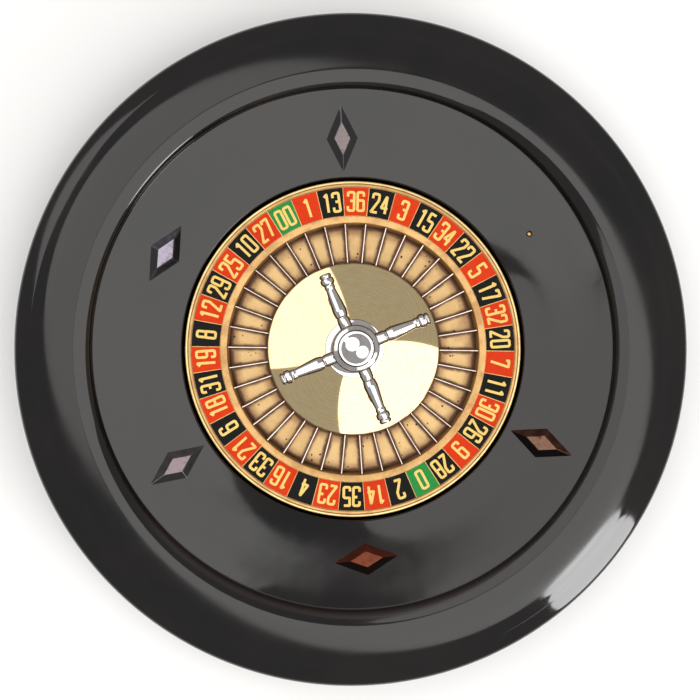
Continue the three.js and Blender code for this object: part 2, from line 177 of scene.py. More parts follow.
def bakelite():
    s = Shader("bakelite")
    r, angle = s.radius_and_angle()
    cloud = s.noise(14, 5)
    streak = s.noise(3, 5, 0.6, s.node("CombineXYZ", X=s.math("MULTIPLY", r, 0.05), Y=angle).outputs[0])
    colour = s.mix(s.between(cloud, 0.35, 0.7), rgb(8, 5, 4), rgb(17, 11, 9))
    colour = s.mix(s.between(streak, 0.55, 0.8, 0, 0.4), colour, rgb(29, 20, 16))
    ball_track = s.math("MULTIPLY", s.between(r, 138, 150), s.between(r, 192, 178))
    scuffs = s.noise(10, 8, 0.72,
        s.node("CombineXYZ", X=s.math("MULTIPLY", r, 0.9), Y=s.math("MULTIPLY", angle, 2)).outputs[0])
    scratches = s.between(scuffs, 0.62, 0.72)
    dust = s.between(s.cells(420), 0.09, 0.03)
    dust = s.math("MULTIPLY", dust, s.between(s.noise(60, 3), 0.55, 0.62))
    crease = s.math("MULTIPLY", s.between(r, 193.6, 195.2), s.between(r, 199, 197))
    # One side of the bowl, where a painted reflection is laid at the foot of the wall.
    painted_reflection_side = s.between(s.math("ABSOLUTE", s.math("SUBTRACT", s.math("ABSOLUTE", angle), 1.7)), 0.9, 0.6)
    painted_reflection_side = s.math("MULTIPLY", painted_reflection_side, s.between(s.math("MULTIPLY", angle, -1.0), 0.0, 0.1))
    turn = s.math("ABSOLUTE", angle)
    far_half = s.math("MAXIMUM", s.between(angle, 0.0, 0.1), s.between(turn, 2.65, 2.95))
    bright_side = s.math("MULTIPLY", s.between(turn, 1.88, 2.05), far_half)
    foot_of_wall = s.math("MULTIPLY", s.between(r, 193.6, 195.2), s.between(r, 202, 198))
    dulling_and_painted_reflection = s.math("MULTIPLY", foot_of_wall, painted_reflection_side)
    dulled = s.math("MULTIPLY", crease, s.math("SUBTRACT", 1.0, bright_side))
    rubbed_crown = s.math("MULTIPLY", s.between(r, 235, 223), s.between(r, 205, 212))
    rough = s.math("ADD", s.between(s.noise(30, 6), 0.3, 0.8, 0.035, 0.09),
        s.math("MULTIPLY", scratches, 0.04))
    rough = s.math("ADD", rough, s.math("MULTIPLY", ball_track, 0.05))
    rough = s.math("ADD", rough, s.math("MULTIPLY", dulled, 0.25))
    rough = s.math("ADD", rough, s.math("MULTIPLY", dulling_and_painted_reflection, 0.3))
    rough = s.math("ADD", rough, s.math("MULTIPLY", rubbed_crown, 0.13))
    rough = s.math("ADD", rough, s.math("MULTIPLY", dust, 0.3))
    colour = s.mix(s.math("MULTIPLY", dust, 0.35), colour, rgb(120, 105, 95))
    # Dull red-brown at the foot of the wall on that side: partly dust in the crease, partly a painted
    # reflection.
    colour = s.mix(s.math("MULTIPLY", dulling_and_painted_reflection, 0.5), colour, rgb(32, 17, 15))
    ripple = s.bump(s.noise(26, 2), 0.12, 0.0006)
    fine = s.bump(s.math("ADD", scratches, s.math("MULTIPLY", dust, 2)), 0.1, 0.00004, ripple)
    return s.finish(colour, rough, fine, IOR=1.56, Specular_IOR_Level=0.5)


def worn_diamond(name, top, side, far_side, polish, painted_far_face_from):
    """Bakelite with a flat top worn dull and paler. The wear fades over the edges, and the far faces are
    dulled and take a colour of their own, a painted reflection."""
    s = Shader(name)
    normal = s.node("SeparateXYZ", Vector=s.node("NewGeometry").outputs["Normal"])
    up = normal.outputs["Z"]
    # Faces turned towards +Y are dulled and take the far-face colour: a painted reflection.
    dulling_and_painted_reflection = s.between(normal.outputs["Y"], painted_far_face_from, painted_far_face_from + 0.14)
    side_colour = s.mix(dulling_and_painted_reflection, side, far_side)
    grain = s.noise(160, 6, 0.65)
    worn = s.math("ADD", up, s.math("MULTIPLY", s.math("SUBTRACT", grain, 0.5), 0.10))
    worn = s.between(worn, 0.955, 0.985)
    fine = s.noise(500, 5, 0.7)
    pale = s.mix(s.between(fine, 0.3, 0.75), tuple(0.72 * v for v in top[:3]) + (1.0,), top)
    pit = s.math("MULTIPLY", s.between(s.cells(170), 0.20, 0.06), s.between(s.noise(55, 2), 0.56, 0.62))
    pale = s.mix(s.math("MULTIPLY", pit, 0.8), pale, rgb(58, 28, 22))
    scuffed = s.mix(s.between(grain, 0.3, 0.8, 0.0, 0.14), side_colour, top)
    colour = s.mix(worn, s.mix(dulling_and_painted_reflection, side_colour, scuffed), pale)
    rough = s.math("ADD", s.between(grain, 0.3, 0.8, 0.06, 0.12), s.math("MULTIPLY", worn, 0.32))
    rough = s.math("ADD", rough, s.math("MULTIPLY", dulling_and_painted_reflection, 0.85))
    height = s.math("SUBTRACT", fine, pit)
    return s.finish(colour, rough, s.bump(height, 0.16, 0.00008), IOR=1.56, Specular_IOR_Level=polish)


def ring_brass():
    s = Shader("gilt_brass")
    r, angle = s.radius_and_angle()
    turned = s.node("CombineXYZ", X=s.math("MULTIPLY", r, 1.6), Y=s.math("MULTIPLY", angle, 0.6)).outputs[0]
    lines = s.noise(2.2, 3, 0.6, turned)
    stain = s.noise(90, 7, 0.66)
    inner = s.between(r, 101.6, 100.2)
    colour = s.mix(s.between(stain, 0.35, 0.75), rgb(216, 172, 108), rgb(190, 144, 86))
    colour = s.mix(s.math("MULTIPLY", inner, s.between(stain, 0.42, 0.62, 0.1, 0.35)), colour,
        rgb(160, 116, 74))
    groove = s.math("SUBTRACT", 1.0, s.between(s.math("ABSOLUTE", s.math("SUBTRACT", r, 125.4)), 0.05, 0.5))
    colour = s.mix(s.math("MULTIPLY", groove, 0.7), colour, rgb(78, 50, 26))
    # A painted highlight along the top of the outer bead.
    painted_highlight = s.math("MULTIPLY", s.between(r, 125.7, 126.3), s.between(stain, 0.7, 0.4, 0.5, 1.0))
    colour = s.mix(painted_highlight, colour, rgb(255, 226, 158))
    shade = s.math("MULTIPLY", s.between(r, 122.6, 122.9), s.between(r, 124.2, 123.4))
    colour = s.mix(s.math("MULTIPLY", shade, 0.5), colour, rgb(112, 72, 40))
    wall = s.between(r, 96.3, 95.6)
    colour = s.mix(s.math("MULTIPLY", wall, 0.55), colour, rgb(96, 60, 36))
    rough = s.math("ADD", s.between(stain, 0.3, 0.8, 0.24, 0.42), s.math("MULTIPLY", groove, 0.2))
    return s.finish(colour, rough, s.bump(lines, 0.12, 0.00006), Metallic=0.45)


def floor_brass():
    """Brass sheet seen between the frets: bright in the middle of a pocket, brown towards its edges, partly
    tarnish and partly painted shade, with small pits."""
    s = Shader("aged_brass")
    r, angle = s.radius_and_angle()
    turns = s.math("MULTIPLY", s.math("SUBTRACT", angle, math.radians(FIRST_FRET)), POCKETS / math.tau)
    off_fret = s.math("ABSOLUTE", s.math("SUBTRACT", s.math("FRACT", s.math("ADD", turns, 100.0)), 0.5))
    to_fret = s.math("MULTIPLY", s.math("SUBTRACT", 0.5, off_fret),
        s.math("MULTIPLY", r, math.tau / POCKETS))
    to_cone = s.math("SUBTRACT", r, CONE_R)
    to_wall = s.math("SUBTRACT", RING_FOOT_R, r)
    edge = s.math("SMOOTH_MIN", s.math("SMOOTH_MIN", to_fret, to_cone), to_wall)
    cloud = s.noise(75, 6, 0.68)
    edge = s.math("ADD", edge, s.math("MULTIPLY", s.math("SUBTRACT", cloud, 0.5), 4.5))
    # Brown beside the frets, the cone and the ring's wall: partly tarnish, partly painted shade.
    tarnish_and_shade = s.between(edge, 3.6, 0.9)
    ends = s.math("SMOOTH_MIN", to_cone, to_wall)
    ends = s.between(s.math("ADD", ends, s.math("MULTIPLY", s.math("SUBTRACT", cloud, 0.5), 9)), 9, 1.5)
    brushed = s.noise(6, 4, 0.6,
        s.node("CombineXYZ", X=s.math("MULTIPLY", r, 0.25), Y=s.math("MULTIPLY", angle, 40)).outputs[0])
    colour = s.mix(s.between(brushed, 0.3, 0.75), rgb(238, 204, 142), rgb(208, 162, 104))
    colour = s.mix(s.between(s.noise(40, 3), 0.5, 0.75, 0, 0.55), colour, rgb(164, 116, 80))
    colour = s.mix(s.math("MULTIPLY", ends, 0.7), colour, rgb(128, 82, 48))
    colour = s.mix(s.math("MULTIPLY", tarnish_and_shade, 0.9), colour, rgb(74, 40, 22))
    pits = s.math("MULTIPLY", s.between(s.cells(200), 0.2, 0.12), s.between(s.noise(90, 2), 0.48, 0.56))
    colour = s.mix(pits, colour, rgb(40, 24, 14))
    rough = s.math("ADD", s.between(cloud, 0.3, 0.8, 0.34, 0.5), s.math("MULTIPLY", tarnish_and_shade, 0.15))
    height = s.math("SUBTRACT", brushed, s.math("MULTIPLY", pits, 2))
    return s.finish(colour, rough, s.bump(height, 0.3, 0.0001), Metallic=0.4)


def fret_metal():
    """Copper-brown sides, with the up-facing top painted pale: partly plating kept bright by the ball,
    partly a painted highlight.
    """
    s = Shader("fret_metal")
    up = s.node("SeparateXYZ", Vector=s.node("NewGeometry").outputs["Normal"]).outputs["Z"]
    wear = s.noise(220, 5, 0.65)
    # Up-facing surfaces painted pale: partly plating worn bright, partly a painted highlight.
    high = s.between(up, 0.8, 0.96)
    colour = s.mix(s.between(wear, 0.35, 0.7), rgb(132, 70, 50), rgb(92, 46, 30))
    colour = s.mix(s.math("MULTIPLY", high, s.between(wear, 0.3, 0.62, 0.7, 1.0)), colour,
        rgb(255, 240, 226))
    rough = s.between(wear, 0.3, 0.75, 0.3, 0.5)
    return s.finish(colour, rough, s.bump(wear, 0.3, 0.0001), Metallic=0.55)


def cone_brass():
    s = Shader("polished_brass")
    r, angle = s.radius_and_angle()
    smear = s.noise(1.6, 4, 0.6,
        s.node("CombineXYZ", X=s.math("MULTIPLY", r, 0.5), Y=s.math("MULTIPLY", angle, 3)).outputs[0])
    colour = s.mix(s.between(smear, 0.35, 0.7), rgb(254, 230, 178), rgb(246, 216, 160))
    spots = s.math("MULTIPLY", s.between(s.cells(200), 0.12, 0.05), s.between(s.noise(45, 2), 0.56, 0.62))
    edge = s.between(s.math("ADD", r, s.math("MULTIPLY", s.noise(150, 4), 1.6)), 64.8, 66.2)
    colour = s.mix(s.math("MAXIMUM", s.math("MULTIPLY", spots, 0.6), s.math("MULTIPLY", edge, 0.7)), colour,
        rgb(110, 70, 38))
    rough = s.math("ADD", s.between(smear, 0.3, 0.8, 0.035, 0.06), s.math("MULTIPLY", spots, 0.3))
    spun = s.noise(3, 2, 0.5, s.node("CombineXYZ", X=r, Y=angle).outputs[0])
    return s.finish(colour, rough, s.bump(spun, 0.012, 0.0001), Metallic=1.0)


def chrome(name="chrome", rings=True):
    s = Shader(name)
    r, angle = s.radius_and_angle()
    haze = s.noise(120, 5, 0.6)
    colour = s.mix(s.between(haze, 0.35, 0.75), rgb(238, 234, 230), rgb(214, 206, 200))
    spots = s.math("MULTIPLY", s.between(s.cells(520), 0.14, 0.06), s.between(s.noise(160, 2), 0.56, 0.62))
    colour = s.mix(s.math("MULTIPLY", spots, 0.7), colour, rgb(90, 66, 50))
    # The steep sides are tinted dark brown: a painted reflection of dark surroundings.
    normal = s.node("SeparateXYZ", Vector=s.node("NewGeometry").outputs["Normal"])
    painted_dark_flank = s.between(normal.outputs["Z"], 0.74, 0.46, 0.0, 0.92)
    colour = s.mix(painted_dark_flank, colour, rgb(84, 56, 42))
    rough = s.math("ADD", s.between(haze, 0.3, 0.8, 0.03, 0.08), s.math("MULTIPLY", spots, 0.3))
    lines = s.node("CombineXYZ", X=s.math("MULTIPLY", r, 3.0)).outputs[0] if rings else None
    relief = s.noise(1.0 if rings else 60, 2, 0.5, lines)
    return s.finish(colour, rough, s.bump(relief, 0.12 if rings else 0.012, 0.0001), Metallic=1.0)


def enamel(name, colour, worn):
    s = Shader(name)
    mottle = s.noise(320, 6, 0.7)
    broad = s.noise(28, 3)
    shown = s.mix(s.between(mottle, 0.35, 0.8, 0, 0.5), colour, worn)
    shown = s.mix(s.between(broad, 0.4, 0.7, 0, 0.35), shown, worn)
    rub = s.math("MULTIPLY", s.between(s.noise(800, 4, 0.7), 0.62, 0.7), s.between(broad, 0.45, 0.62))
    shown = s.mix(s.math("MULTIPLY", rub, 0.5), shown, rgb(150, 96, 54))
    rough = s.between(mottle, 0.3, 0.8, 0.3, 0.46)
    return s.finish(shown, rough, s.bump(mottle, 0.2, 0.00006), IOR=1.5, Specular_IOR_Level=0.12)


def machined(name, light, dark, rough_low, rough_high, metallic=1.0):
    s = Shader(name)
    r, angle = s.radius_and_angle()
    tool = s.noise(2.0, 3, 0.6, s.node("CombineXYZ", X=s.math("MULTIPLY", r, 4), Y=angle).outputs[0])
    stain = s.noise(140, 6, 0.65)
    colour = s.mix(s.between(s.math("ADD", tool, stain), 0.7, 1.3), light, dark)
    return s.finish(colour, s.between(stain, 0.3, 0.75, rough_low, rough_high), s.bump(tool, 0.25, 0.0001),
        Metallic=metallic)


def hardwood():
    s = Shader("turned_hardwood")
    warped = s.node("VectorMath", {"operation": "ADD"}, _0=s.stretched((1, 7, 7), 0.3), _1=s.node(
        "TexNoise", Vector=s.place(), Scale=9.0).outputs["Color"]).outputs[0]
    rings = s.node("TexWave", {"wave_type": "RINGS"}, Vector=warped, Scale=6.0, Distortion=3.0,
        Detail=4.0).outputs["Fac"]
    pores = s.noise(60, 6, 0.7, s.stretched((2, 30, 30), 0.3))
    colour = s.mix(rings, rgb(118, 74, 42), rgb(74, 44, 26))
    colour = s.mix(s.between(pores, 0.6, 0.75), colour, rgb(44, 26, 16))
    return s.finish(colour, s.between(pores, 0.3, 0.8, 0.42, 0.62), s.bump(pores, 0.3, 0.0003), IOR=1.45)


def baize():
    s = Shader("wool_baize")
    fibres = s.noise(900, 6, 0.75)
    mat = s.noise(130, 5, 0.6)
    weave = s.noise(300, 3, 0.6, s.stretched((1, 4, 1), 0.6))
    colour = s.mix(s.between(fibres, 0.3, 0.75), rgb(24, 70, 46), rgb(52, 108, 74))
    colour = s.mix(s.between(mat, 0.5, 0.75, 0, 0.5), colour, rgb(70, 96, 70))
    height = s.math("ADD", fibres, s.math("ADD", weave, mat))
    return s.finish(colour, s.between(mat, 0.3, 0.8, 0.86, 0.98), s.bump(height, 0.7, 0.0006),
        Sheen_Weight=0.3)


# ---- outlines ----
def rounded(corners, closed=True):
    """Rounds the corners of an outline. Each corner is (x, y, rounding, steps); one without a rounding
    stays sharp."""
    places = [Vector(c[:2]) for c in corners]
    count = len(places)
    points = []
    for i, corner in enumerate(corners):
        here = places[i]
        size = corner[2] if len(corner) > 2 else 0
        if not size or (not closed and i in (0, count - 1)):
            points.append(here)
            continue
        steps = corner[3] if len(corner) > 3 else 8
        before = (places[i - 1] - here).normalized()
        after = (places[(i + 1) % count] - here).normalized()
        half = math.acos(max(-1, min(1, before.dot(after)))) / 2
        centre = here + (before + after).normalized() * size / math.sin(half)
        start = here + before * size / math.tan(half) - centre
        end = here + after * size / math.tan(half) - centre
        turn = math.atan2(start.x * end.y - start.y * end.x, start.dot(end))
        for k in range(steps + 1):
            points.append(centre + Matrix.Rotation(turn * k / steps, 2) @ start)
    return points


def curve(start, control, end, steps):
    a, b, c = Vector(start), Vector(control), Vector(end)
    ways = [k / steps for k in range(steps + 1)]
    return [tuple((1 - t) ** 2 * a + 2 * t * (1 - t) * b + t * t * c) for t in ways]


# ---- meshes ----
def mesh_object(name, points, faces, material, sharp=38):
    mesh = bpy.data.meshes.new(name)
    mesh.from_pydata([tuple(p) for p in points], [], faces)
    mesh.validate()
    shaped = bmesh.new()
    shaped.from_mesh(mesh)
    bmesh.ops.remove_doubles(shaped, verts=shaped.verts, dist=1e-7)
    bmesh.ops.recalc_face_normals(shaped, faces=shaped.faces)
    shaped.to_mesh(mesh)
    shaped.free()
    mesh.polygons.foreach_set("use_smooth", [True] * len(mesh.polygons))
    mesh.set_sharp_from_angle(angle=math.radians(sharp))
    mesh.materials.append(material)
    piece = bpy.data.objects.new(name, mesh)
    scene.collection.objects.link(piece)
    return piece


def turned(name, outline, sides, material, closed=True, sharp=38, move=None):
    """A turned piece about the Z axis from an outline of (radius, height) in millimetres. move then
    places it."""
    count = len(outline)
    points = []
    for k in range(sides):
        angle = math.tau * k / sides
        c, s = math.cos(angle), math.sin(angle)
        points += [Vector((r * c, r * s, z)) * MM for r, z in outline]
    spans = count if closed else count - 1
    faces = []
    for k in range(sides):
        here, there = k * count, (k + 1) % sides * count
        for i in range(spans):
            j = (i + 1) % count
            corners = [here + i, there + i, there + j, here + j]
            if outline[i][0] < 1e-6:
                corners.remove(there + i)
            if outline[j][0] < 1e-6:
                corners.remove(there + j)
            if len(corners) > 2:
                faces.append(corners)
    if move:
        points = [move @ p for p in points]
    return mesh_object(name, points, faces, material, sharp)


def turn_about_z(degrees):
    return Matrix.Rotation(math.radians(degrees), 4, "Z")


def station_matrix(station, turn=0.0):
    """Puts a piece made flat at the origin on its station, tilted with the apron. Millimetres in,
    metres out."""
    around = turn_about_z(FIRST_STATION + station * 360 / STATIONS)
    place = Matrix.Translation((STATION_R * MM, 0, apron_z(STATION_R) * MM))
    return around @ place @ Matrix.Rotation(-APRON_TILT, 4, "Y") @ turn_about_z(turn)


def finished(piece, body, slot, *nodes):
    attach(piece, body)
    if nodes:
        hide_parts(*nodes)
    return piece


def cut_away(piece, cutter):
    """Takes the cutter's shape out of a piece, then deletes the cutter."""
    tool = piece.modifiers.new("cut", "BOOLEAN")
    tool.operation = "DIFFERENCE"
    tool.object = cutter
    bpy.context.view_layer.update()
    seen = piece.evaluated_get(bpy.context.evaluated_depsgraph_get())
    done = bpy.data.meshes.new_from_object(seen)
    piece.modifiers.clear()
    piece.data = done
    bpy.data.objects.remove(cutter)


# ---- bowl and what is fixed to it ----
def bowl_outline():
    def hollow(inner, outer):
        roof = (inner + 2, apron_z(inner) - WALL, 3, 3), (outer - 2, apron_z(outer) - WALL, 3, 3)
        return [(inner, 2.5), *roof, (outer, 2.5)]
    belly = curve((213, 2.5), (246, 8), (248, RIM_UNDER_Z - 2), 14)
    bead = curve((241, 56.3), (245.6, 54.27), (250, 52.08), 10)
    roll = curve((235.8, 59.1), (222.4, 66), (210, CROWN_Z), 14)
    round_the_screw = [(r, apron_z(r)) for r in range(163, 153, -1)]
    return rounded([
        (5.3, 8), (11, 8), (11, 2.5),
        *hollow(WELL_R + WALL, 167),
        *hollow(174, 200),
        *belly,
        (249.5, RIM_UNDER_Z, 1),
        (BOWL_R, RIM_UNDER_Z, 2),
        (BOWL_R, BEAD_SHOULDER_Z + 0.5, 6, 12),
        *reversed(bead),
        (240.5, 56.5),
        *roll,
        (204.4, CROWN_Z, 19, 12),
        (195.6, 62.9, 6.5, 16),
        (CREASE_R, apron_z(CREASE_R), 1.2, 9),
        *round_the_screw,
        (WELL_R, LIP_Z, 1.5, 6),
        (WELL_R, 10.5, 3, 6),
        (21, 10.5), (20, 13, 0.5), (5.3, 13),
    ])


def make_bowl(material):
    bowl = turned("bowl_moulding", bowl_outline(), 560, material, sharp=30)
    hole = [(0, 34), (1.7, 34), (1.7, apron_z(STATION_R) - 0.5), (2.4, apron_z(STATION_R) + 0.5), (2.4, 60),
        (0, 60)]
    around = turn_about_z(FIRST_STATION) @ Matrix.Translation((STATION_R * MM, 0, 0))
    cut_away(bowl, turned("hole", hole, 48, material, closed=False, move=around))
    finished(bowl, "bowl", "bakelite", "bowl")


def diamond_mesh(name, station, material):
    """A flat-topped hipped block with softened edges and corners, standing a little below the apron's
    surface."""
    root = 1.0
    grow = 1 + root / DIAMOND_HEIGHT * 0.5
    shaped = bmesh.new()
    rings = []
    for share, height in ((grow, -root), (0.5, DIAMOND_HEIGHT)):
        half_length, half_width = DIAMOND_LENGTH / 2 * share, DIAMOND_WIDTH / 2 * share
        corners = ((half_length, 0), (0, half_width), (-half_length, 0), (0, -half_width))
        rings.append([shaped.verts.new((x * MM, y * MM, height * MM)) for x, y in corners])
    low, high = rings
    shaped.faces.new(reversed(low))
    shaped.faces.new(high)
    for k in range(4):
        shaped.faces.new((low[k], low[(k + 1) % 4], high[(k + 1) % 4], high[k]))
    edges = [e for e in shaped.edges if any(v in high for v in e.verts)]
    bmesh.ops.bevel(shaped, geom=edges, offset=0.35 * MM, segments=3, profile=0.6, affect="EDGES")
    bmesh.ops.subdivide_edges(shaped, edges=[e for e in shaped.edges if e.calc_length() > 4 * MM], cuts=6,
        use_grid_fill=True)
    for vert in shaped.verts:
        if vert.co.z > 0:
            vert.co.z += 0.06 * MM * (noise.noise(vert.co * 160 + Vector((station, 0, 0))) - 0.5)
    shaped.transform(station_matrix(station, DIAMOND_TURNS[station]))
    mesh = bpy.data.meshes.new(name)
    shaped.to_mesh(mesh)
    shaped.free()
    mesh.polygons.foreach_set("use_smooth", [True] * len(mesh.polygons))
    mesh.set_sharp_from_angle(angle=math.radians(24))
    mesh.materials.append(material)
    piece = bpy.data.objects.new(name, mesh)
    scene.collection.objects.link(piece)
    return piece


def make_diamonds():
    black, painted_red_reflection, painted_dark_red_reflection = rgb(14, 10, 10), rgb(58, 27, 20), rgb(42, 20, 17)
    # Each diamond has its own colours, and their differences stand for the light and reflection on each:
    # the lilac and grey tops of 1 to 3 are wear tinted by a painted reflection, and the red-brown far faces
    # of 4 and 5 are a painted reflection.
    looks = {
        1: (rgb(126, 106, 106), black, black, 0.75, 0.3),
        2: (rgb(176, 162, 184), black, black, 0.75, 0.2),
        3: (rgb(148, 126, 130), black, black, 0.75, 0.2),
        4: (rgb(132, 72, 52), rgb(20, 13, 11), painted_red_reflection, 0.0, 0.0),
        5: (rgb(140, 106, 86), black, painted_dark_red_reflection, 0.03, 0.0),
    }
    for station, look in looks.items():
        material = worn_diamond(f"diamond_{station}_bakelite", *look)
        piece = diamond_mesh(f"diamond_{station}_block", station, material)
        finished(piece, "bowl", "diamond_bakelite", f"diamond_{station}")


def make_screws(brass):
    """The screw left at the vacant station, and one under each diamond, driven from inside the moulding."""
    for station in range(STATIONS):
        roof = -WALL - 0.3
        tip = 0.8 if station == 0 else -2.0
        outline = rounded([
            (0, roof - 2.6), (3.4, roof - 2.6, 0.5, 4), (3.4, roof - 1.6, 0.3, 3), (1.4, roof - 1),
            (1.4, tip, 0.35, 4), (0, tip),
        ], closed=False)
        around = turn_about_z(FIRST_STATION + station * 360 / STATIONS)
        place = around @ Matrix.Translation((STATION_R * MM, 0, apron_z(STATION_R) * MM))
        name = "vacant_screw_turned" if station == 0 else f"diamond_screw_{station}"
        screw = turned(name, outline, 40, brass, closed=False, move=place)
        slot_box = bmesh.new()
        size = Matrix.Diagonal((8 * MM, 0.7 * MM, 1.4 * MM, 1))
        bmesh.ops.create_cube(slot_box, size=1,
            matrix=place @ Matrix.Translation((0, 0, (roof - 2.6) * MM)) @ size)
        slot_mesh = bpy.data.meshes.new("slot")
        slot_box.to_mesh(slot_mesh)
        slot_box.free()
        cutter = bpy.data.objects.new("slot", slot_mesh)
        scene.collection.objects.link(cutter)
        cut_away(screw, cutter)
        finished(screw, "bowl", "bright_brass", *(["vacant_station_screw"] if station == 0 else []))


def make_spindle(steel):
    outline = rounded([
        (0, 3.4), (5, 3.4, 0.5, 3), (5, 13.3), (15, 13.3, 0.4, 3), (15, 15.5, 0.4, 3), (6, 15.5, 0.8, 4),
        (6, 65.6, 1, 4), (3, 66.9, 1, 3), (0, 67.1),
    ], closed=False)
    finished(turned("spindle_turned", outline, 96, steel, closed=False), "bowl", "steel", "spindle")


def make_baize(cloth):
    """A disc of wool cloth glued under the moulding, with a slightly uneven cut edge."""
    rings = [0, 40, 80, 120, 160, 190, 204, 209.4]
    sides = 240
    points, faces = [], []
    for z, lift in ((0.0, 1), (2.2, -1)):
        for r in rings:
            for k in range(sides):
                angle = math.tau * k / sides
                c, s = math.cos(angle), math.sin(angle)
                ragged = 0.8 * noise.noise(Vector((9 * c, 9 * s, z))) if r == rings[-1] else 0
                soft = 0.25 * lift * (r == rings[-1])
                height = z + soft + lift * 0.12 * abs(noise.noise(Vector((r * c, r * s, 7 * z)) / 9))
                points.append(Vector(((r + ragged) * c, (r + ragged) * s, height)) * MM)
    per_side = len(rings) * sides
    for layer in (0, 1):
        for i in range(len(rings) - 1):
            for k in range(sides):
                a = layer * per_side + i * sides + k
                b = layer * per_side + i * sides + (k + 1) % sides
                faces.append((a, b, b + sides, a + sides))
    edge = (len(rings) - 1) * sides
    for k in range(sides):
        low, next_low = edge + k, edge + (k + 1) % sides
        faces.append((low, next_low, next_low + per_side, low + per_side))
    disc = mesh_object("baize_disc", points, faces, cloth, sharp=70)
    finished(disc, "bowl", "baize", "baize_base")


# ---- rotor ----
def make_rotor_disc(wood):
    outline = rounded([(10.3, 17, 0.5, 2), (127, 17, 1.5, 5), (127, 29, 0.6, 3), (10.3, 29, 0.5, 2)])
    finished(turned("rotor_disc_turned", outline, 240, wood), "rotor", "wood", "rotor_disc")


def make_ring(brass):
    outline = rounded([
        (RING_FOOT_R, 29.3),
        (127.5, 29.3, 0.5, 3),
        (127.5, 42, 1, 8),
        (125.8, 42, 0.25, 3),
        (125.4, 41.3, 0.2, 3),
        (125, 41.9, 0.25, 3),
        (CELL_OUTER_R + 0.3, 41.9, 0.3, 4),
        (CELL_OUTER_R, CELL_OUTER_Z),
        (CELL_INNER_R, CELL_INNER_Z),
        (CELL_INNER_R - 0.3, 39.8, 0.3, 4),
        (RING_INNER_R, RING_INNER_Z, 0.8, 6),
    ])
    finished(turned("number_ring_turned", outline, 480, brass, sharp=32), "rotor", "gilt_brass",
        "number_ring")


def on_band(u, v, angle, lift):
    """A point on the number band: u to the right and v outwards from the band's middle, in millimetres."""
    middle = (CELL_INNER_R + CELL_OUTER_R) / 2
    along, across = middle + v, u
    r = math.hypot(along, across)
    slope = (CELL_OUTER_Z - CELL_INNER_Z) / (CELL_OUTER_R - CELL_INNER_R)
    z = CELL_INNER_Z + (r - CELL_INNER_R) * slope + lift
    c, s = math.cos(angle), math.sin(angle)
    return Vector((along * c + across * s, along * s - across * c, z)) * MM


def cell_angle(k):
    return math.radians(FIRST_FRET + (k + 0.5) * STEP)


CELL_GAP = 0.55
CELL_LIFT = 0.22


def cell_block(k, points, faces):
    """One enamelled cell: a thin block that follows the band, with a bevelled top edge."""
    first = len(points)
    half = math.radians(STEP / 2)
    spans, rows = 10, 4
    for inset, lift in ((0.0, -0.1), (0.0, CELL_LIFT - 0.08), (0.1, CELL_LIFT)):
        inner, outer = CELL_INNER_R + 0.2 + inset, CELL_OUTER_R - 0.2 - inset
        for i in range(rows + 1):
            r = inner + (outer - inner) * i / rows
            reach = half - (CELL_GAP / 2 + inset) / r
            for j in range(spans + 1):
                angle = cell_angle(k) - reach + 2 * reach * j / spans
                slope = (CELL_OUTER_Z - CELL_INNER_Z) / (CELL_OUTER_R - CELL_INNER_R)
                z = CELL_INNER_Z + (r - CELL_INNER_R) * slope + lift
                points.append(Vector((r * math.cos(angle), r * math.sin(angle), z)) * MM)
    wide = spans + 1
    layer = wide * (rows + 1)
    top = first + 2 * layer
    for i in range(rows):
        for j in range(spans):
            a = top + i * wide + j
            faces.append((a, a + 1, a + wide + 1, a + wide))
    loop = [*range(wide), *[i * wide + spans for i in range(1, rows + 1)],
            *[rows * wide + j for j in range(spans - 1, -1, -1)],
                *[i * wide for i in range(rows - 1, 0, -1)]]
    for level in (0, 1):
        low, high = first + level * layer, first + (level + 1) * layer
        for a, b in zip(loop, loop[1:] + loop[:1]):
            faces.append((low + a, low + b, high + b, high + a))


def make_cells():
    looks = {
        "red": ("enamel_red", rgb(214, 54, 0), rgb(184, 36, 2)),
        "black": ("enamel_black", rgb(6, 7, 6), rgb(16, 15, 12)),
        "green": ("enamel_green", rgb(40, 140, 62), rgb(30, 108, 48)),
    }
    for kind, (slot, colour, worn) in looks.items():
        points, faces = [], []
        for k, number in enumerate(NUMBERS):
            own = "green" if number in GREENS else "red" if number in REDS else "black"
            if own == kind:
                cell_block(k, points, faces)
        material = enamel(slot, colour, worn)
        mesh = bpy.data.meshes.new(f"cells_{kind}")
        mesh.from_pydata([tuple(p) for p in points], [], faces)
        mesh.materials.append(material)
        piece = bpy.data.objects.new(f"cells_{kind}", mesh)
        scene.collection.objects.link(piece)
        shaped = bmesh.new()
        shaped.from_mesh(mesh)
        bmesh.ops.recalc_face_normals(shaped, faces=shaped.faces)
        for face in shaped.faces:
            face.smooth = False
        shaped.to_mesh(mesh)
        shaped.free()
        finished(piece, "rotor", slot)


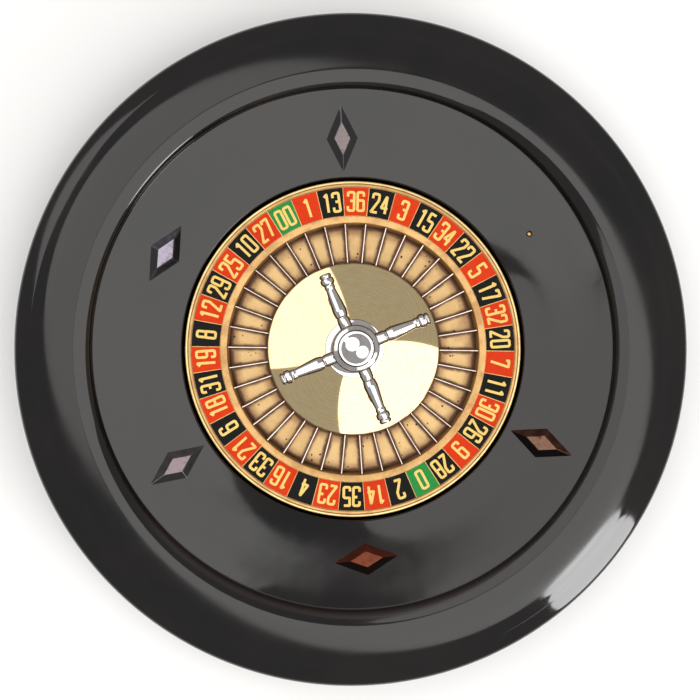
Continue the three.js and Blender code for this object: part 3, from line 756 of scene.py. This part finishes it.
# Each digit is drawn as pen strokes in a box 1 wide and 1 high. True closes a stroke on itself.
BENT = 0.25
DIGITS = {
    "0": [(True, [(0, 0, 1), (1, 0, 1), (1, 1, 1), (0, 1, 1)])],
    "1": [(False, [(0.18, 0.84), (0.62, 1.0, 0.2), (0.62, 0)])],
    "2": [(False, [(0, 0.74), (0, 1, 1), (1, 1, 1), (1, 0.66, 0.8), (0, 0.0, 0.2), (1, 0)])],
    "3": [(False, [(0, 0.76), (0, 1, 1), (1, 1, 1), (1, 0.53, 0.7), (0.36, 0.53)]),
          (False, [(0.36, 0.53), (1, 0.53, 0.7), (1, 0, 1), (0, 0, 1), (0, 0.24)])],
    "4": [(False, [(0.72, 0), (0.72, 1, 0.2), (0, 0.3, 0.2), (1.02, 0.3)])],
    "5": [(False, [(0.96, 1), (0.04, 1, 0.2), (0.04, 0.58, 0.2), (1, 0.58, 1), (1, 0, 1), (0, 0, 1),
        (0, 0.22)])],
    "6": [(False, [(1, 0.78), (1, 1, 1), (0, 1, 1), (0, 0, 1), (1, 0, 1), (1, 0.56, 1), (0.06, 0.56)])],
    "7": [(False, [(0, 0.84), (0, 1, 0.2), (1, 1, 0.2), (0.34, 0)])],
    "8": [(True, [(0, 0, 1), (1, 0, 1), (1, 0.53, 0.6), (0, 0.53, 0.6)]),
          (True, [(0.04, 0.53, 0.6), (0.96, 0.53, 0.6), (0.96, 1, 1), (0.04, 1, 1)])],
    "9": [(False, [(0, 0.22), (0, 0, 1), (1, 0, 1), (1, 1, 1), (0, 1, 1), (0, 0.44, 1), (0.94, 0.44)])],
}
DIGIT_HEIGHT = 15.7
DIGIT_WIDTH = 4.7
DIGIT_SPACING = 7.3
PEN = 1.95


def pen_edges(line, closed):
    """The two edges of a pen stroke that follows a line, with mitred bends."""
    count = len(line)
    left, right = [], []
    for i, here in enumerate(line):
        before = line[i - 1] if closed or i else None
        after = line[(i + 1) % count] if closed or i < count - 1 else None
        ways = [w.normalized() for w in ((here - before) if before else None,
            (after - here) if after else None) if w]
        along = sum(ways, Vector((0, 0))).normalized()
        side = Vector((-along.y, along.x))
        reach = PEN / 2 / max(0.35, side.dot(Vector((-ways[0].y, ways[0].x))))
        left.append(here + side * reach)
        right.append(here - side * reach)
    return left, right


def add_stroke(line, closed, angle, lift, points, faces):
    left, right = pen_edges(line, closed)
    first, count = len(points), len(line)
    for height in (lift - 0.15, lift):
        for edge in (left, right):
            points += [on_band(p.x, p.y, angle, height) for p in edge]
    low_left, low_right, high_left, high_right = (first + k * count for k in range(4))
    for i in range(count if closed else count - 1):
        j = (i + 1) % count
        faces.append((high_left + i, high_right + i, high_right + j, high_left + j))
        faces.append((low_left + i, high_left + i, high_left + j, low_left + j))
        faces.append((high_right + i, low_right + i, low_right + j, high_right + j))
    if not closed:
        for i in (0, count - 1):
            faces.append((low_left + i, low_right + i, high_right + i, high_left + i))


def make_numerals():
    points, faces = [], []
    for k, number in enumerate(NUMBERS):
        for place, digit in enumerate(number):
            shift = (place - (len(number) - 1) / 2) * DIGIT_SPACING
            for order, (closed, corners) in enumerate(DIGITS[digit]):
                scaled = []
                for corner in corners:
                    x, y = corner[:2]
                    bend = (corner[2] if len(corner) > 2 else 0) * BENT * DIGIT_WIDTH
                    scaled.append((shift + (x - 0.5) * DIGIT_WIDTH, (y - 0.5) * (DIGIT_HEIGHT - PEN), bend,
                        5))
                line = rounded(scaled, closed)
                add_stroke(line, closed, cell_angle(k), CELL_LIFT + 0.07 + 0.012 * order, points, faces)
    material = enamel("numeral_cream", rgb(242, 208, 120), rgb(222, 170, 84))
    mesh = bpy.data.meshes.new("numerals")
    mesh.from_pydata([tuple(p) for p in points], [], faces)
    mesh.materials.append(material)
    shaped = bmesh.new()
    shaped.from_mesh(mesh)
    bmesh.ops.recalc_face_normals(shaped, faces=shaped.faces)
    shaped.to_mesh(mesh)
    shaped.free()
    piece = bpy.data.objects.new("numerals", mesh)
    scene.collection.objects.link(piece)
    finished(piece, "rotor", "numeral_cream")


def make_pocket_floor(brass):
    """The floor sheet, turned up in a small fillet along each fret, the cone and the ring's wall."""
    inner, outer, rows, spans = 60.0, 93.9, 44, 24
    points, faces = [], []
    sides = POCKETS * spans
    for i in range(rows + 1):
        r = inner + (outer - inner) * i / rows
        for k in range(sides):
            share = k / spans % 1
            angle = math.radians(FIRST_FRET + k * STEP / spans)
            to_fret = min(share, 1 - share) * math.radians(STEP) * r - 0.8
            edge = min(to_fret, r - CONE_R, RING_FOOT_R - r)
            fillet = 1.8
            rise = 0.55 * max(0.0, 1 - max(edge, 0.0) / fillet) ** 2
            if r < CONE_R:
                rise = 0.0
            ripple = 0.05 * noise.noise(Vector((r * math.cos(angle), r * math.sin(angle), 0)) / 5)
            points.append(Vector((r * math.cos(angle), r * math.sin(angle), FLOOR_Z + rise + ripple)) * MM)
    for i in range(rows):
        for k in range(sides):
            a, b = i * sides + k, i * sides + (k + 1) % sides
            faces.append((a, b, b + sides, a + sides))
    top = len(points)
    for r in (inner, outer):
        for k in range(sides):
            angle = math.radians(FIRST_FRET + k * STEP / spans)
            points.append(Vector((r * math.cos(angle), r * math.sin(angle), 29.3)) * MM)
    for k in range(sides):
        j = (k + 1) % sides
        faces.append((top + k, top + j, top + sides + j, top + sides + k))
        faces.append((k, j, top + j, top + k))
        faces.append((rows * sides + k, rows * sides + j, top + sides + j, top + sides + k))
    finished(mesh_object("pocket_floor_sheet", points, faces, brass, sharp=50), "rotor", "aged_brass",
        "pocket_floor")


def make_frets(metal):
    """Thin strips on edge with a rounded, slightly nicked and bent top."""
    start, end = CONE_R + 0.3, 95.4
    stations, around = 30, [(-0.8, 0), (-0.8, 0.86), (-0.66, 0.96), (-0.3, 1.0), (0.3, 1.0), (0.66, 0.96),
        (0.8, 0.86), (0.8, 0)]
    for k in range(POCKETS):
        name = f"fret_{k + 1:02d}"
        spin = turn_about_z(FIRST_FRET + k * STEP)
        points, faces = [], []
        for i in range(stations + 1):
            share = i / stations
            top = 37.4 + (38.6 - 37.4) * share
            wave = noise.noise(Vector((share * 2.2, k * 3.1, 0.5)))
            nick = 0.35 * max(0.0, noise.noise(Vector((share * 9, k * 1.7, 4.0))) - 0.28)
            for u, v in around:
                z = 30.5 + (top - 30.5) * v - (nick if v > 0.5 else 0)
                slope = (RING_INNER_R - RING_FOOT_R) / (RING_INNER_Z - 29.3)
                outer_end = RING_FOOT_R + (z - 29.3) * slope - 0.1
                x = start + (min(end, outer_end) - start) * share
                points.append(spin @ (Vector((x, u * 0.94 + 0.09 * wave * v, z)) * MM))
        wide = len(around)
        for i in range(stations):
            for j in range(wide):
                a, b = i * wide + j, i * wide + (j + 1) % wide
                faces.append((a, b, b + wide, a + wide))
        faces.append(tuple(range(wide)))
        faces.append(tuple(range(stations * wide, (stations + 1) * wide)))
        finished(mesh_object(f"{name}_strip", points, faces, metal, sharp=50), "rotor", "fret_metal", name)


def make_cone(brass):
    outline = rounded([
        (63.7, 30.6), (65.7, 30.6), (65.7, 38.6, 1.2, 8), (20.8, 54, 2, 6), (10.3, 54),
        (10.3, 52), (20.8, 52), (63.7, 36.6),
    ])
    finished(turned("cone_spun", outline, 480, brass), "rotor", "polished_brass", "cone")


def make_hub(metal, plain, brass):
    bush = rounded([
        (0, 67.4), (6.3, 67.4, 0.3, 2), (6.3, 17.3), (10, 17.3, 0.4, 3), (10, 71.5, 0.4, 3), (0, 71.5),
    ], closed=False)
    finished(turned("rotor_bush_turned", bush, 96, brass, closed=False), "rotor", "bright_brass",
        "rotor_bush")
    flare = curve((21.8, 55.7), (16.6, 56.1), (15.4, 60.1), 16)
    collar = rounded([(10.3, 54.3), (22.2, 54.3, 0.3, 3), (22.2, 55.3, 0.4, 4), *flare, (15.4, 60.7),
        (10.3, 60.7)])
    finished(turned("turret_collar_turned", collar, 192, metal), "rotor", "chrome", "turret_collar")
    body = rounded([(10.3, 61), (15.4, 61, 0.8, 5), (15.4, 71.6, 0.8, 5), (10.3, 71.6)])
    boss = turned("turret_body_turned", body, 192, metal)
    for k in range(ARMS):
        socket = [(0, 11.7), (3.3, 11.7), (3.3, 19), (0, 19)]
        cut_away(boss, turned("socket", socket, 48, metal, closed=False, move=arm_matrix(k)))
    finished(boss, "rotor", "chrome", "turret_body")
    dish = curve((10.7, 82.1), (5.9, 78.3), (0, 78.3), 16)
    cap = rounded([
        (0, 71.9), (14.4, 71.9, 0.6, 4), (17.4, 73.9, 1.0, 6), (17.4, 79.2, 3, 12), (13.6, 81, 0.6, 4),
            (12.6, 82.3, 0.6, 5),
        (11.1, 82.3, 0.4, 5), *dish,
    ], closed=False)
    finished(turned("turret_cap_turned", cap, 192, metal, closed=False), "rotor", "chrome", "turret_cap")
    arm = rounded([
        (0, 12), (3, 12, 0.4, 3), (3, 15.7), (4.9, 15.7, 0.5, 4), (4.75, 23.6, 0.5, 4), (4.15, 25, 0.4, 5),
            (4.85, 26.0, 0.5, 4),
        (5.45, 30, 5, 8), (4.9, 36, 8, 8), (3.6, 47.2, 1.5, 6), (4.2, 49, 0.7, 6), (3.85, 50.4, 0.5, 5),
            (5.3, 52.2, 1.0, 6),
        (5.25, 55.2, 0.9, 6), (4.0, 56.3, 0.4, 5), (4.9, 57.6, 0.9, 6), (3.9, 59.4, 1.0, 6), (0, 59.8),
    ], closed=False)
    for k in range(ARMS):
        handle = turned(f"turret_arm_{k + 1}_turned", arm, 72, plain, closed=False, move=arm_matrix(k))
        finished(handle, "rotor", "chrome", f"turret_arm_{k + 1}")


def arm_matrix(k):
    """Turns a piece made along +Z to lie along one of the turret's arms."""
    lie_down = Matrix.Rotation(math.pi / 2, 4, "Y")
    return turn_about_z(FIRST_ARM + k * 360 / ARMS) @ Matrix.Translation((0, 0, ARM_Z * MM)) @ lie_down


# ---- room and light ----
def soft_light(name, place, size, power, colour):
    data = bpy.data.lights.new(name, "AREA")
    data.shape = "DISK"
    data.size = size
    data.energy = power
    data.color = colour
    lamp = bpy.data.objects.new(name, data)
    lamp.location = place
    lamp.rotation_euler = (-Vector(place)).to_track_quat("-Z", "Y").to_euler()
    lamp.visible_camera = False
    scene.collection.objects.link(lamp)


def make_studio():
    floor_shader = Shader("floor")
    grain = floor_shader.noise(3, 4)
    floor_shader.finish(floor_shader.mix(grain, (0.90, 0.895, 0.885, 1), (0.93, 0.925, 0.915, 1)), 1.0,
        Specular_IOR_Level=0.0)
    points = [(40 * math.cos(a), 40 * math.sin(a), 0) for a in np.linspace(0, math.tau, 64, endpoint=False)]
    mesh = bpy.data.meshes.new("floor")
    mesh.from_pydata(points, [], [tuple(range(64))])
    mesh.materials.append(floor_shader.material)
    floor = bpy.data.objects.new("floor", mesh)
    scene.collection.objects.link(floor)
    soft_light("key", (0.9, -0.9, 2.2), 3.4, 50, (1.0, 0.99, 0.97))
    soft_light("fill", (-1.4, 0.9, 2.4), 3.4, 40, (1.0, 0.98, 0.96))
    soft_light("side", (2.11, -1.77, 1.17), 1.0, 22, (1.0, 1.0, 1.0))
    world = bpy.data.worlds.new("world")
    world.use_nodes = True
    world.node_tree.nodes["Background"].inputs["Color"].default_value = (0.95, 0.955, 0.965, 1)
    world.node_tree.nodes["Background"].inputs["Strength"].default_value = 0.4
    scene.world = world
    scene.view_settings.view_transform = "Standard"
    scene.view_settings.look = "None"


def make_camera():
    """Nearly straight above, tilted slightly, as the wheel was seen."""
    data = bpy.data.cameras.new("camera")
    data.sensor_width = 36
    data.lens = 65.0
    camera = bpy.data.objects.new("camera", data)
    camera.location = (-0.0428, -0.00693, 1.0)
    camera.rotation_euler = (0.00633, -0.04161, 0)
    scene.collection.objects.link(camera)
    scene.camera = camera


def paint_cad_node(name, material):
    """A CAD node that is shown as it is takes a material of its own."""
    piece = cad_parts[name]
    piece.data.materials.clear()
    piece.data.materials.append(material)


brass = machined("machined_brass", rgb(214, 180, 118), rgb(168, 126, 74), 0.2, 0.38)
steel = machined("turned_steel", rgb(190, 190, 188), rgb(120, 119, 117), 0.24, 0.4)
make_bowl(bakelite())
make_diamonds()
make_screws(brass)
make_spindle(steel)
paint_cad_node("spindle_nut", steel)
make_baize(baize())
make_rotor_disc(hardwood())
make_ring(ring_brass())
make_cells()
make_numerals()
make_pocket_floor(floor_brass())
make_frets(fret_metal())
make_cone(cone_brass())
make_hub(chrome(), chrome("chrome_handles", rings=False), brass)
make_studio()
make_camera()
